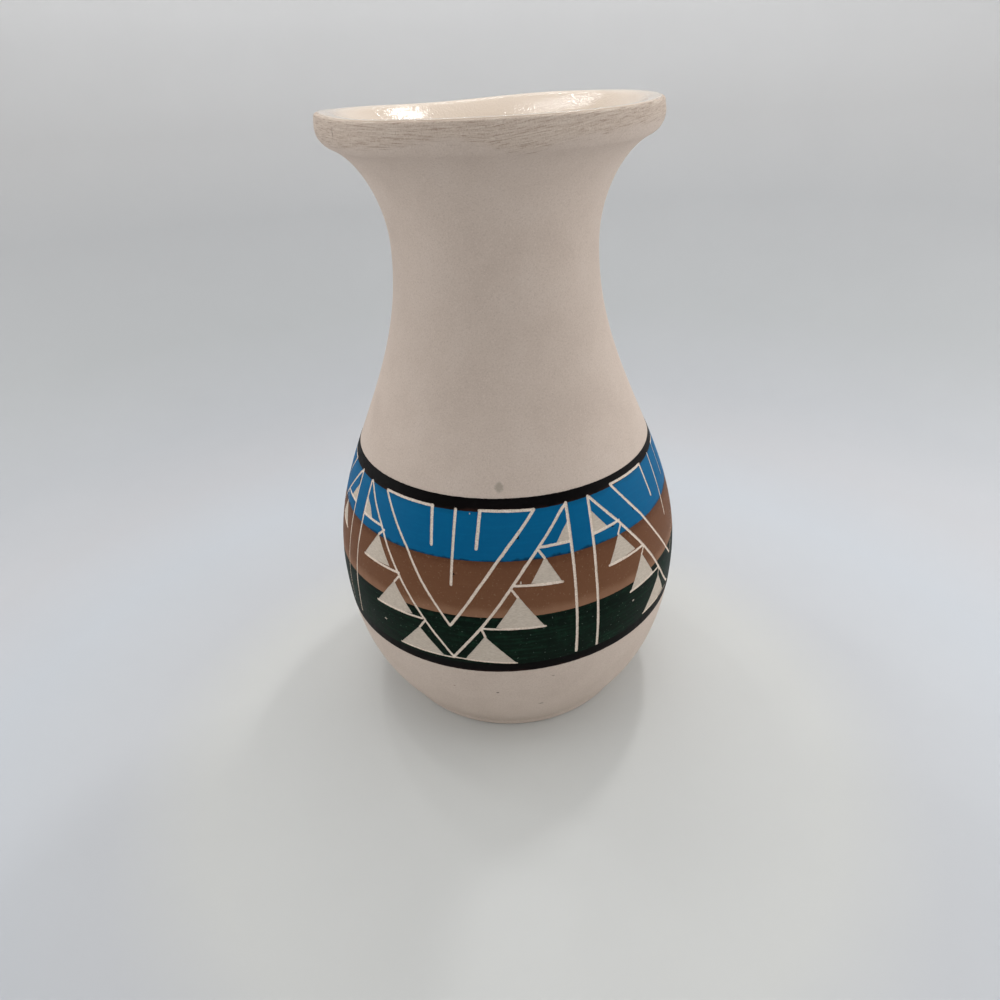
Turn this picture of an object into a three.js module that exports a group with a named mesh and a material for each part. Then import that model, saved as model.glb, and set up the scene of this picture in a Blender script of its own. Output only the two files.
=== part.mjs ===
// Pottery vase: a wide belly on a flat foot, a drawn-in neck and a flared mouth with a rolled lip.
// The fired clay wall is one piece. A glaze coat lines it, and five coats of coloured slip ring its belly.
// Millimetres, +Z up. The origin is on the axis of the vase, in the plane that the foot stands on.

import * as THREE from "three";

// Overall height, to the top of the glazed lip.
const TOTAL_HEIGHT = 203;

// Foot: a flat round underside and a low upright wall, with a rounded edge between them.
const FOOT_RADIUS = 46;
const FOOT_HEIGHT = 2.65;
const FOOT_EDGE_ROUND = 0.6;

// Outside of the lower body, which leaves the foot's wall at an angle and stands upright at the belly.
// Each reach is the length of a curve's handle: the longer, the fuller the curve beside that point.
const BODY_START_ANGLE = 53.2;
const BODY_START_REACH = 10.75;
const BELLY_RADIUS = 62.1;
const BELLY_HEIGHT = 55.5;
const BELLY_REACH_DOWN = 30;
const BELLY_REACH_UP = 39.2;

// Waist of the neck, its narrowest place.
const WAIST_RADIUS = 32.3;
const WAIST_BELOW_RIM = 38;
const WAIST_REACH_DOWN = 42.8;
const WAIST_REACH_UP = 14.6;

// Lip: the flare runs into a rolled underside, and a gently bulged face climbs to the rim.
const LIP_RADIUS = 49.8;
const LIP_BULGE_BELOW_RIM = 4.1;
const LIP_ROLL_RADIUS = 5;
const LIP_UNDERSIDE_ANGLE = 24.5;
const LIP_UNDERSIDE_REACH = 8.4;
const LIP_FACE_RADIUS = 14;
const LIP_EDGE_ROUND = 0.8;
const LIP_TOP_WIDTH = 3;

// Inside of the clay wall.
const WALL = 5;
const FLOOR_THICKNESS = 7;
const FLOOR_EDGE_INSET = 8.2;
const FLOOR_CORNER_REACH = 12;
const INSIDE_REACH_DOWN = 26.6;
const MOUTH_REACH_UP = 18;
const MOUTH_ANGLE = 38;
const MOUTH_REACH_DOWN = 12;

// Fired coats.
const GLAZE_THICKNESS = 0.35;
const SLIP_THICKNESS = 0.2;

// Slip bands, each standing on the one below it.
const BANDS_START_HEIGHT = 42.8;
const LOWER_STRIPE_WIDTH = 3.3;
const GREEN_WIDTH = 19;
const BROWN_WIDTH = 18.4;
const BLUE_WIDTH = 15.2;
const UPPER_STRIPE_WIDTH = 3.3;

// Fineness of the turned surfaces.
const SEGMENTS = 48;
const BODY_RING_SPACING = 5.2;
const BAND_RING_SPACING = 6.5;
const NECK_RING_SPACING = 8;
const LOWER_INSIDE_STEPS = 7;
const UPPER_INSIDE_STEPS = 9;
const FLARE_STEPS = 6;
const ROLL_STEPS = 4;
const FACE_STEPS = 2;
const EDGE_STEPS = 2;
const FOOT_STEPS = 2;

// Places worked out from the sizes above. Points are (radius, height).
const rimHeight = TOTAL_HEIGHT - GLAZE_THICKNESS;
const waistHeight = TOTAL_HEIGHT - WAIST_BELOW_RIM;
const bulgeHeight = TOTAL_HEIGHT - LIP_BULGE_BELOW_RIM;

const point = (radius, height) => new THREE.Vector2(radius, height);

// The point a given way from a start, along a direction in degrees above the horizontal.
function along(start, degrees, distance) {
  const turn = THREE.MathUtils.degToRad(degrees);
  return point(start.x + distance * Math.cos(turn), start.y + distance * Math.sin(turn));
}

// Points on an arc of a circle, from one direction to another in degrees, both ends included.
function arc(centre, radius, fromDegrees, toDegrees, steps) {
  const points = [];
  for (let i = 0; i <= steps; i += 1) {
    points.push(along(centre, THREE.MathUtils.lerp(fromDegrees, toDegrees, i / steps), radius));
  }
  return points;
}

// Evenly spaced heights from one to another, no further apart than the longest step.
function heightsBetween(from, to, longestStep) {
  const steps = Math.ceil((to - from) / longestStep);
  return Array.from({ length: steps + 1 }, (_, i) => THREE.MathUtils.lerp(from, to, i / steps));
}

// The point at a height on the first curve of a rising chain that reaches it.
function pointAtHeight(curves, height) {
  const curve = curves.find((c) => c.getPoint(1).y >= height) ?? curves[curves.length - 1];
  let low = 0;
  let high = 1;
  for (let i = 0; i < 40; i += 1) {
    const middle = (low + high) / 2;
    if (curve.getPoint(middle).y < height) low = middle;
    else high = middle;
  }
  return point(curve.getPoint((low + high) / 2).x, height);
}

// Outside curves of the body, from the foot through the belly to the waist.
const footEdgeCentre = point(FOOT_RADIUS - FOOT_EDGE_ROUND, FOOT_EDGE_ROUND);
const footTop = point(FOOT_RADIUS, FOOT_HEIGHT);
const belly = point(BELLY_RADIUS, BELLY_HEIGHT);
const waist = point(WAIST_RADIUS, waistHeight);
const bodyCurves = [
  new THREE.CubicBezierCurve(
    footTop,
    along(footTop, BODY_START_ANGLE, BODY_START_REACH),
    along(belly, -90, BELLY_REACH_DOWN),
    belly,
  ),
  new THREE.CubicBezierCurve(
    belly,
    along(belly, 90, BELLY_REACH_UP),
    along(waist, -90, WAIST_REACH_DOWN),
    waist,
  ),
];

// Lip: the roll turns from the flare's slope to upright, and the face leans in to the rounded edge.
const rollCentre = point(LIP_RADIUS - LIP_ROLL_RADIUS, bulgeHeight);
const rollStart = along(rollCentre, LIP_UNDERSIDE_ANGLE - 90, LIP_ROLL_RADIUS);
const faceCentre = point(LIP_RADIUS - LIP_FACE_RADIUS, bulgeHeight);
const edgeRise = rimHeight - LIP_EDGE_ROUND - bulgeHeight;
const faceEndAngle = THREE.MathUtils.radToDeg(Math.asin(edgeRise / (LIP_FACE_RADIUS - LIP_EDGE_ROUND)));
const edgeCentre = along(faceCentre, faceEndAngle, LIP_FACE_RADIUS - LIP_EDGE_ROUND);
const rimEdge = point(edgeCentre.x, rimHeight);
const flareCurve = new THREE.CubicBezierCurve(
  waist,
  along(waist, 90, WAIST_REACH_UP),
  along(rollStart, LIP_UNDERSIDE_ANGLE + 180, LIP_UNDERSIDE_REACH),
  rollStart,
);

// Inside curves, one wall in from the outside, from the floor to the mouth.
const floorEdge = point(FOOT_RADIUS - FLOOR_EDGE_INSET, FLOOR_THICKNESS);
const innerBelly = point(BELLY_RADIUS - WALL, BELLY_HEIGHT);
const innerWaist = point(WAIST_RADIUS - WALL, waistHeight);
const mouthEdge = point(rimEdge.x - LIP_TOP_WIDTH, rimHeight);
const lowerInside = new THREE.CubicBezierCurve(
  floorEdge,
  along(floorEdge, 0, FLOOR_CORNER_REACH),
  along(innerBelly, -90, INSIDE_REACH_DOWN),
  innerBelly,
);
const upperInside = new THREE.CubicBezierCurve(
  innerBelly,
  along(innerBelly, 90, BELLY_REACH_UP),
  along(innerWaist, -90, WAIST_REACH_DOWN),
  innerWaist,
);
const mouthInside = new THREE.CubicBezierCurve(
  innerWaist,
  along(innerWaist, 90, MOUTH_REACH_UP),
  along(mouthEdge, MOUTH_ANGLE + 180, MOUTH_REACH_DOWN),
  mouthEdge,
);

// Slip bands as named stretches of the outside, from the lowest up.
const bandWidths = [
  ["lower_black_stripe", LOWER_STRIPE_WIDTH],
  ["green_slip_band", GREEN_WIDTH],
  ["brown_slip_band", BROWN_WIDTH],
  ["blue_slip_band", BLUE_WIDTH],
  ["upper_black_stripe", UPPER_STRIPE_WIDTH],
];
const bands = [];
let bandBottom = BANDS_START_HEIGHT;
for (const [name, width] of bandWidths) {
  const heights = heightsBetween(bandBottom, bandBottom + width, BAND_RING_SPACING);
  bands.push({ name, skin: heights.map((height) => pointAtHeight(bodyCurves, height)) });
  bandBottom += width;
}

// The clay's outside under the bands has the bands' own rings, so coat and clay meet face to face.
const footSkin = [...arc(footEdgeCentre, FOOT_EDGE_ROUND, -90, 0, FOOT_STEPS), footTop];
const belowBands = heightsBetween(footTop.y, BANDS_START_HEIGHT, BODY_RING_SPACING).slice(1, -1);
const aboveBands = heightsBetween(bandBottom, waistHeight, NECK_RING_SPACING).slice(1, -1);
const outerSkin = [
  ...footSkin,
  ...belowBands.map((height) => pointAtHeight(bodyCurves, height)),
  ...bands.flatMap((band, i) => (i === 0 ? band.skin : band.skin.slice(1))),
  ...aboveBands.map((height) => pointAtHeight(bodyCurves, height)),
  ...flareCurve.getPoints(FLARE_STEPS),
  ...arc(rollCentre, LIP_ROLL_RADIUS, LIP_UNDERSIDE_ANGLE - 90, 0, ROLL_STEPS).slice(1),
  ...arc(faceCentre, LIP_FACE_RADIUS, 0, faceEndAngle, FACE_STEPS).slice(1),
  ...arc(edgeCentre, LIP_EDGE_ROUND, faceEndAngle, 90, EDGE_STEPS).slice(1, -1),
];
const innerSkin = [
  point(0, FLOOR_THICKNESS),
  ...lowerInside.getPoints(LOWER_INSIDE_STEPS),
  ...upperInside.getPoints(UPPER_INSIDE_STEPS).slice(1),
  ...mouthInside.getPoints(FLARE_STEPS).slice(1),
  rimEdge,
];

// The same line of points moved a distance to its left, across the mean direction at each point.
function movedLeft(skin, distance) {
  return skin.map((here, i) => {
    const before = skin[Math.max(i - 1, 0)];
    const after = skin[Math.min(i + 1, skin.length - 1)];
    const into = here.clone().sub(before).normalize();
    const out = after.clone().sub(here).normalize();
    const direction = into.add(out).normalize();
    return point(here.x - direction.y * distance, here.y + direction.x * distance);
  });
}

// A solid of revolution about Z. The profile runs with its material on the left.
function turned(name, profile, colour, roughness) {
  const geometry = new THREE.LatheGeometry(profile, SEGMENTS);
  geometry.rotateX(Math.PI / 2);
  const material = new THREE.MeshStandardMaterial({ color: colour, roughness, metalness: 0 });
  material.name = name;
  const mesh = new THREE.Mesh(geometry, material);
  mesh.name = name;
  return mesh;
}

// A coat of slip over a stretch of the clay's outside.
function slipCoat(name, skin, colour, roughness) {
  const outside = skin.map((here) => point(here.x + SLIP_THICKNESS, here.y));
  return turned(name, [...outside, ...skin.toReversed(), outside[0]], colour, roughness);
}

const slipFinishes = {
  lower_black_stripe: ["#17110f", 0.5],
  green_slip_band: ["#173a29", 0.5],
  brown_slip_band: ["#6f5240", 0.55],
  blue_slip_band: ["#12679c", 0.5],
  upper_black_stripe: ["#17110f", 0.5],
};

const vase = new THREE.Group();
vase.name = "pottery_vase";
vase.add(turned("clay_body", [point(0, 0), ...outerSkin, ...innerSkin.toReversed()], "#cdc2b6", 0.85));

const glazeFace = movedLeft(innerSkin, GLAZE_THICKNESS);
glazeFace[0].set(0, FLOOR_THICKNESS + GLAZE_THICKNESS);
glazeFace[glazeFace.length - 1].set(rimEdge.x, TOTAL_HEIGHT);
vase.add(turned("glaze_lining", [...innerSkin, ...glazeFace.toReversed()], "#e4d6c3", 0.12));

for (const { name, skin } of bands) {
  vase.add(slipCoat(name, skin, ...slipFinishes[name]));
}

export default vase;
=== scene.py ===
"""Pottery vase on a pale studio sweep: turned clay, a glaze lining and five scratched coats of slip.

Sizes are in millimetres until a mesh is finished, and in metres from then on. An angle round the vase is in
degrees, 0 at its front on -Y and growing towards +X. A profile point is (radius, height).
"""

import logging
import math
from bisect import bisect_right
from collections.abc import Callable, Iterable
from dataclasses import dataclass, field
from enum import Enum

import bmesh
import bpy
from mathutils import Matrix, Quaternion, Vector, noise
from mathutils.geometry import interpolate_bezier


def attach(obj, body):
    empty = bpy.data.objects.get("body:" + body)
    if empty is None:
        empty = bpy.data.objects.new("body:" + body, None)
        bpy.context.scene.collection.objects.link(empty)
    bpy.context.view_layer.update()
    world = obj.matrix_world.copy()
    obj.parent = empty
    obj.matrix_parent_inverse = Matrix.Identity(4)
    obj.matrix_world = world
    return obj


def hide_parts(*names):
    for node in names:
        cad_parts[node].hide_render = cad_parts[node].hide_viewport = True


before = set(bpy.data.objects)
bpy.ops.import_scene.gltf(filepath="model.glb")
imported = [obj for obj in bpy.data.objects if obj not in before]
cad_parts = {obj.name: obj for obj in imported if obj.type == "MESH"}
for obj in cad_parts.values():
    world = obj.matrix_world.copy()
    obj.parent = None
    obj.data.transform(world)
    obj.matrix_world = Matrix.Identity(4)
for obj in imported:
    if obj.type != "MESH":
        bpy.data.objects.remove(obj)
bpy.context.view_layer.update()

LOG = logging.getLogger("vase")
MM = 0.001
BODY = "root"

# Radius at which a coat's flat sheet is measured before it is laid on the vase.
SHEET_RADIUS = 58.0
# Angle of the sheets' seam, in the middle of a plain strip at the back.
SEAM_ANGLE = 204.7
SHARP_ANGLE = math.radians(40)
# Seed of the noise that roughens the edges, which would otherwise change from run to run.
NOISE_SEED = 1
# Points nearer than this are one: on the vase, at a cut through a sheet, and where a part joins its sheet.
SAME_PLACE = 0.002
SAME_CUT = SAME_PLACE / 4
SAME_CORNER = SAME_PLACE / 20

Pair = tuple[float, float]
Place = Pair


def linear(hex_colour: str) -> tuple[float, float, float, float]:
    """Turns an sRGB colour to linear light.

    Args:
        hex_colour: the colour, such as "#c8c0b4".

    Returns:
        Red, green, blue and an alpha of 1, as a colour socket takes them.
    """
    parts = [int(hex_colour[i : i + 2], 16) / 255 for i in (1, 3, 5)]
    light = [p / 12.92 if p <= 0.04045 else ((p + 0.055) / 1.055) ** 2.4 for p in parts]
    return (*light, 1.0)


def add_node(
    tree: bpy.types.NodeTree, kind: str, inputs: dict | None = None, stops: list | None = None, **settings
) -> bpy.types.Node:
    """Adds one shader node.

    Args:
        tree: the material's or world's node tree.
        kind: the node type, without its ShaderNode prefix.
        inputs: a value, or a socket to link from, for each named or numbered input.
        stops: (position, sRGB hex colour) pairs for a colour ramp.
        settings: attributes of the node.

    Returns:
        The new node.
    """
    node = tree.nodes.new("ShaderNode" + kind)
    for name, value in settings.items():
        setattr(node, name, value)
    for key, value in (inputs or {}).items():
        if isinstance(value, bpy.types.NodeSocket):
            tree.links.new(value, node.inputs[key])
        else:
            node.inputs[key].default_value = value
    if stops:
        elements = node.color_ramp.elements
        while len(elements) < len(stops):
            elements.new(1.0)
        for element, (position, colour) in zip(elements, stops):
            element.position = position
            element.color = linear(colour)
    return node
def per_metre(size_mm: float) -> float:
    """The scale of a noise whose grains have this size."""
    return 1 / (size_mm * MM)


def ordered(*groups: Iterable) -> dict:
    """The members of the groups, each once, in the order in which they come, which a set wouldn't keep."""
    return dict.fromkeys(member for group in groups for member in group)

def smooth_step(low: float, high: float, value: float) -> float:
    """Rises smoothly from 0 at low to 1 at high."""
    t = min(max((value - low) / (high - low), 0.0), 1.0)
    return t * t * (3 - 2 * t)


def point(radius: float, height: float) -> Vector:
    """A profile point."""
    return Vector((radius, height))


def along(start: Vector, degrees: float, distance: float) -> Vector:
    """The point a given way from start, along a direction in degrees above the horizontal."""
    turn = math.radians(degrees)
    return start + point(math.cos(turn), math.sin(turn)) * distance


def arc(centre: Vector, radius: float, start: float, end: float, steps: int) -> list[Vector]:
    """Points on an arc from one direction to another, in degrees, both ends included."""
    return [along(centre, start + (end - start) * i / steps, radius) for i in range(steps + 1)]


def curve(start: Vector, start_handle: Vector, end_handle: Vector, end: Vector, steps: int) -> list[Vector]:
    """Points on a smooth curve, both ends included."""
    return [Vector(p[:2]) for p in interpolate_bezier(start, start_handle, end_handle, end, steps + 1)]


@dataclass
class ProfileLine:
    """A line of profile points that is walked by its length, with the clay on its right."""

    points: list[Vector]
    lengths: list[float] = field(init=False)
    normals: list[Vector] = field(init=False)

    def __post_init__(self) -> None:
        """Measures the line and finds the direction away from the clay at each point."""
        steps = [b - a for a, b in zip(self.points, self.points[1:])]
        self.lengths = [0.0]
        for step in steps:
            self.lengths.append(self.lengths[-1] + step.length)
        ways = [step.normalized() for step in steps]
        joined = [a + b for a, b in zip([ways[0], *ways], [*ways, ways[-1]])]
        self.normals = [point(-way.y, way.x).normalized() for way in joined]

    @property
    def length(self) -> float:
        """The whole length."""
        return self.lengths[-1]

    def at(self, length: float) -> tuple[Vector, Vector]:
        """The point and the outward direction at a length along the line."""
        i = min(max(bisect_right(self.lengths, length) - 1, 0), len(self.points) - 2)
        t = (length - self.lengths[i]) / (self.lengths[i + 1] - self.lengths[i])
        here = self.points[i].lerp(self.points[i + 1], t)
        return here, self.normals[i].lerp(self.normals[i + 1], min(max(t, 0.0), 1.0)).normalized()


@dataclass(frozen=True)
class VaseForm:
    """The turned form that the clay has and every coat follows."""

    total_height: float = 203.0
    foot_radius: float = 46.0
    foot_height: float = 2.65
    foot_edge_round: float = 1.6
    body_start_angle: float = 53.2
    body_start_reach: float = 10.75
    belly_radius: float = 62.1
    belly_height: float = 55.5
    belly_reach_down: float = 30.0
    belly_reach_up: float = 39.2
    waist_radius: float = 32.3
    waist_below_rim: float = 38.0
    waist_reach_down: float = 42.8
    waist_reach_up: float = 14.6
    lip_radius: float = 49.8
    lip_bulge_below_rim: float = 4.1
    lip_roll_radius: float = 5.0
    lip_underside_angle: float = 24.5
    lip_underside_reach: float = 8.4
    lip_face_radius: float = 14.0
    lip_edge_round: float = 0.8
    lip_top_width: float = 3.0
    wall: float = 5.0
    floor_thickness: float = 7.0
    floor_edge_inset: float = 8.2
    floor_corner_reach: float = 12.0
    inside_reach_down: float = 26.6
    mouth_reach_up: float = 18.0
    mouth_angle: float = 38.0
    mouth_reach_down: float = 12.0
    mouth_edge_round: float = 1.3
    glaze_thickness: float = 0.35
    # Share of a rounded edge's radius that its handles reach.
    edge_handle: float = 0.45
    # How far the hand-finished form strays from a turned one, and how its two and three lobes are turned.
    oval: float = 0.10
    lobes_turned: Pair = (-1.1, 0.7)
    rim_tilt: float = 0.22
    # Shares of the height between which the tilt and the sways come in.
    tilt_between: Pair = (0.6, 1.0)
    sway_between: Pair = (0.87, 0.99)
    # Where the lip stands above its plane or dips below it: angle, reach round it in degrees, and height.
    rim_sways: tuple[tuple[float, float, float], ...] = (
        (0.0, 80.0, 0.35),
        (100.0, 75.0, 0.75),
        (-78.0, 38.0, 0.95),
        (-158.0, 52.0, -1.3),
    )

    @property
    def rim_height(self) -> float:
        """Height of the clay's rim, under the glaze."""
        return self.total_height - self.glaze_thickness

    @property
    def waist_height(self) -> float:
        """Height of the neck's narrowest place."""
        return self.total_height - self.waist_below_rim

    @property
    def foot_top(self) -> Vector:
        """Where the lower body leaves the foot's upright wall."""
        return point(self.foot_radius, self.foot_height)

    def lip(self) -> tuple[list[Vector], Vector]:
        """The lip's outer points, from its underside to the rim, and where the rim's flat top starts."""
        bulge = self.total_height - self.lip_bulge_below_rim
        roll_centre = point(self.lip_radius - self.lip_roll_radius, bulge)
        face_centre = point(self.lip_radius - self.lip_face_radius, bulge)
        inset = self.lip_face_radius - self.lip_edge_round
        face_end = math.degrees(math.asin((self.rim_height - self.lip_edge_round - bulge) / inset))
        edge_centre = along(face_centre, face_end, inset)
        points = [
            *arc(roll_centre, self.lip_roll_radius, self.lip_underside_angle - 90, 0, 16),
            *arc(face_centre, self.lip_face_radius, 0, face_end, 9)[1:],
            *arc(edge_centre, self.lip_edge_round, face_end, 90, 7)[1:],
        ]
        return points, points[-1]

    def outside(self) -> list[Vector]:
        """The outer points, from the middle of the underside up to the rim."""
        edge_centre = point(self.foot_radius - self.foot_edge_round, self.foot_edge_round)
        belly = point(self.belly_radius, self.belly_height)
        waist = point(self.waist_radius, self.waist_height)
        lip, _ = self.lip()
        under = along(lip[0], self.lip_underside_angle + 180, self.lip_underside_reach)
        body_start = along(self.foot_top, self.body_start_angle, self.body_start_reach)
        up = along(belly, 90, self.belly_reach_up)
        neck = along(waist, -90, self.waist_reach_down)
        return [
            *(point(edge_centre.x * i / 5, 0) for i in range(5)),
            *arc(edge_centre, self.foot_edge_round, -90, 0, 4),
            *curve(self.foot_top, body_start, along(belly, -90, self.belly_reach_down), belly, 34),
            *curve(belly, up, neck, waist, 58)[1:],
            *curve(waist, along(waist, 90, self.waist_reach_up), under, lip[0], 26)[1:],
            *lip[1:],
        ]

    def inside(self) -> list[Vector]:
        """The inner points, from the middle of the floor up to the rim's outer edge."""
        floor_edge = point(self.foot_radius - self.floor_edge_inset, self.floor_thickness)
        belly = point(self.belly_radius - self.wall, self.belly_height)
        waist = point(self.waist_radius - self.wall, self.waist_height)
        _, rim = self.lip()
        mouth = point(rim.x - self.lip_top_width, self.rim_height)
        mouth_start = along(mouth, self.mouth_angle + 180, self.mouth_edge_round)
        mouth_end = along(mouth, 0, self.mouth_edge_round)
        half_handle = self.mouth_edge_round * self.edge_handle
        floor_corner = along(floor_edge, 0, self.floor_corner_reach)
        up = along(belly, 90, self.belly_reach_up)
        neck = along(waist, -90, self.waist_reach_down)
        flare = along(mouth_start, self.mouth_angle + 180, self.mouth_reach_down - self.mouth_edge_round)
        round_start = along(mouth_start, self.mouth_angle, half_handle)
        round_end = along(mouth_end, 180, half_handle)
        return [
            *(point(floor_edge.x * i / 5, self.floor_thickness) for i in range(5)),
            *curve(floor_edge, floor_corner, along(belly, -90, self.inside_reach_down), belly, 18),
            *curve(belly, up, neck, waist, 26)[1:],
            *curve(waist, along(waist, 90, self.mouth_reach_up), flare, mouth_start, 26)[1:],
            *curve(mouth_start, round_start, round_end, mouth_end, 8)[1:],
            *(mouth_end.lerp(rim, i / 4) for i in range(1, 4)),
        ]

    def skin(self) -> ProfileLine:
        """The whole clay surface, from the middle of the floor over the rim to the underside's middle."""
        return ProfileLine([*self.inside(), *reversed(self.outside())])

    def settle(self, place: Vector) -> Vector:
        """Moves a point as the hand-finished form strays: a little oval, and higher at the rim's right."""
        rise = place.z / self.total_height
        turn = math.atan2(place.x, -place.y)
        two, three = self.lobes_turned
        stray = self.oval * (math.cos(2 * turn + two) + 0.5 * math.cos(3 * turn + three)) * rise
        around = math.degrees(turn)
        sway = sum(
            height * (1 - smooth_step(0.0, reach, abs((around - middle + 180) % 360 - 180)))
            for middle, reach, height in self.rim_sways
        )
        lift = self.rim_tilt * smooth_step(*self.tilt_between, rise) * place.x / self.lip_radius
        lift += sway * smooth_step(*self.sway_between, rise)
        reach = math.hypot(place.x, place.y)
        grow = 1 + stray / reach if reach > 1 else 1.0
        return Vector((place.x * grow, place.y * grow, place.z + lift))


class OuterWall:
    """Radius and outward direction of the clay's outer wall by height."""

    # The least outward share of the wall's direction that a line's width is corrected for.
    least_outward = 0.2
    def __init__(self, form: VaseForm) -> None:
        """Keeps the rising stretch of the outside, from the foot to the waist."""
        rising = [p for p in form.outside() if form.foot_top.y - SAME_PLACE <= p.y <= form.waist_height]
        self.line = ProfileLine(list(reversed(rising)))
        self.heights = [p.y for p in rising]

    def at(self, height: float) -> tuple[float, Vector]:
        """The radius and the outward direction at a height."""
        i = min(max(bisect_right(self.heights, height) - 1, 0), len(self.heights) - 2)
        t = (height - self.heights[i]) / (self.heights[i + 1] - self.heights[i])
        low, high = len(self.heights) - 1 - i, len(self.heights) - 2 - i
        radius = self.line.points[low].x * (1 - t) + self.line.points[high].x * t
        return radius, self.line.normals[low].lerp(self.line.normals[high], t).normalized()

    def stretch(self, height: float) -> Pair:
        """How much longer than on the flat sheet a line round the vase, and one up it, is at a height."""
        radius, normal = self.at(height)
        return radius / SHEET_RADIUS, 1 / max(normal.x, self.least_outward)


def on_cylinder(x: float, y: float) -> Vector:
    """The place of a sheet point on a plain cylinder, so that noise read there meets itself at the seam."""
    turn = x / SHEET_RADIUS
    return Vector((math.sin(turn) * SHEET_RADIUS, -math.cos(turn) * SHEET_RADIUS, y))


def sheet_x(angle: float) -> float:
    """The sheet's x of an angle in degrees."""
    return math.radians(angle) * SHEET_RADIUS


SEAM_X = sheet_x(SEAM_ANGLE)
SHEET_LENGTH = sheet_x(360)


@dataclass(frozen=True)
class Border:
    """A hand-brushed border between two coats: a mean height that sways once and twice round the vase."""

    height: float
    sine: float = 0.0
    cosine: float = 0.0
    sine_two: float = 0.0
    cosine_two: float = 0.0

    def at(self, x: float) -> float:
        """The border's height at a sheet x."""
        turn = x / SHEET_RADIUS
        once = self.sine * math.sin(turn) + self.cosine * math.cos(turn)
        twice = self.sine_two * math.sin(2 * turn) + self.cosine_two * math.cos(2 * turn)
        return self.height + once + twice


@dataclass(frozen=True)
class Stroke:
    """A line scratched through the slip along a path of (angle, height) places."""

    path: tuple[Place, ...]
    width: float = 0.95

    def moved(self, angle: float, mirror: bool) -> "Stroke":
        """The stroke placed round another angle, mirrored or not."""
        side = -1 if mirror else 1
        return Stroke(tuple((angle + side * a, h) for a, h in self.path), self.width)


@dataclass(frozen=True)
class Patch:
    """A scratched-out flat area with three or more corners at (angle, height) places, in either order."""

    corners: tuple[Place, ...]

    def moved(self, angle: float, mirror: bool) -> "Patch":
        """The patch placed round another angle, mirrored or not."""
        side = -1 if mirror else 1
        return Patch(tuple((angle + side * a, h) for a, h in self.corners))


def in_order(corners: list[Vector]) -> list[Vector]:
    """The corners of a convex outline, counter-clockwise."""
    turned = sum(a.x * b.y - b.x * a.y for a, b in zip(corners, corners[1:] + corners[:1]))
    return corners if turned > 0 else corners[::-1]


class Scratcher:
    """Turns strokes and patches to convex outlines on the flat sheet."""

    step = 3.4
    overlap = 0.03
    unevenness = 0.13
    uneven_mm = 2.3
    # How far a blunt end reaches past its line, and half its tip's width, as shares of the line's width.
    end_reach = 0.34
    tip_half = 0.24

    def __init__(self, wall: OuterWall) -> None:
        """Keeps the wall, whose slope and radius give each line its width."""
        self.wall = wall

    def resampled(self, path: tuple[Place, ...]) -> list[Vector]:
        """The path's sheet points, with more between those that are far apart."""
        knots = [Vector((sheet_x(a), h)) for a, h in path]
        points = [knots[0]]
        for start, end in zip(knots, knots[1:]):
            count = max(1, round((end - start).length / self.step))
            points += [start.lerp(end, i / count) for i in range(1, count + 1)]
        return points

    def offset(self, here: Vector, way: Vector, half: float) -> Vector:
        """The step from a line's middle to its left edge that is half a width long on the vase itself."""
        round_, up = self.wall.stretch(here.y)
        real = Vector((way.x * round_, way.y * up)).normalized()
        return Vector((-real.y * half / round_, real.x * half / up))

    def stroke(self, stroke: Stroke) -> Iterable[list[Vector]]:
        """The convex outlines that make up a stroke, its blunt ends included.

        Args:
            stroke: the stroke to cut.

        Yields:
            Four corners in the sheet, counter-clockwise.
        """
        points = self.resampled(stroke.path)
        ways = [(b - a).normalized() for a, b in zip(points, points[1:])]
        edges = []
        for i, here in enumerate(points):
            way = (ways[max(i - 1, 0)] + ways[min(i, len(ways) - 1)]).normalized()
            wobble = 1 + self.unevenness * noise.noise(on_cylinder(here.x, here.y) / self.uneven_mm)
            edge = self.offset(here, way, stroke.width / 2 * wobble)
            edges.append((here + edge, here - edge, way))
        for (left, right, way), (next_left, next_right, next_way) in zip(edges, edges[1:]):
            back, on = way * self.overlap, next_way * self.overlap
            yield in_order([left - back, right - back, next_right + on, next_left + on])
        for (left, right, way), side in ((edges[0], -1), (edges[-1], 1)):
            middle = (left + right) / 2 + way * (side * stroke.width * self.end_reach)
            tip = (left - right) * self.tip_half
            yield in_order([left, right, middle - tip, middle + tip])

    def patch(self, patch: Patch) -> Iterable[list[Vector]]:
        """The convex outline of a patch."""
        yield in_order([Vector((sheet_x(a), h)) for a, h in patch.corners])

    def outlines(self, marks: Iterable[Stroke | Patch]) -> list[list[Vector]]:
        """The convex outlines of all the marks, each moved round to lie on the sheet."""
        found = []
        for mark in marks:
            cut = self.stroke(mark) if isinstance(mark, Stroke) else self.patch(mark)
            for corners in cut:
                middle = sum(c.x for c in corners) / len(corners)
                turns = math.floor((middle - (SEAM_X - SHEET_LENGTH)) / SHEET_LENGTH)
                found.append([c - Vector((turns * SHEET_LENGTH, 0)) for c in corners])
        return found


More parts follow.
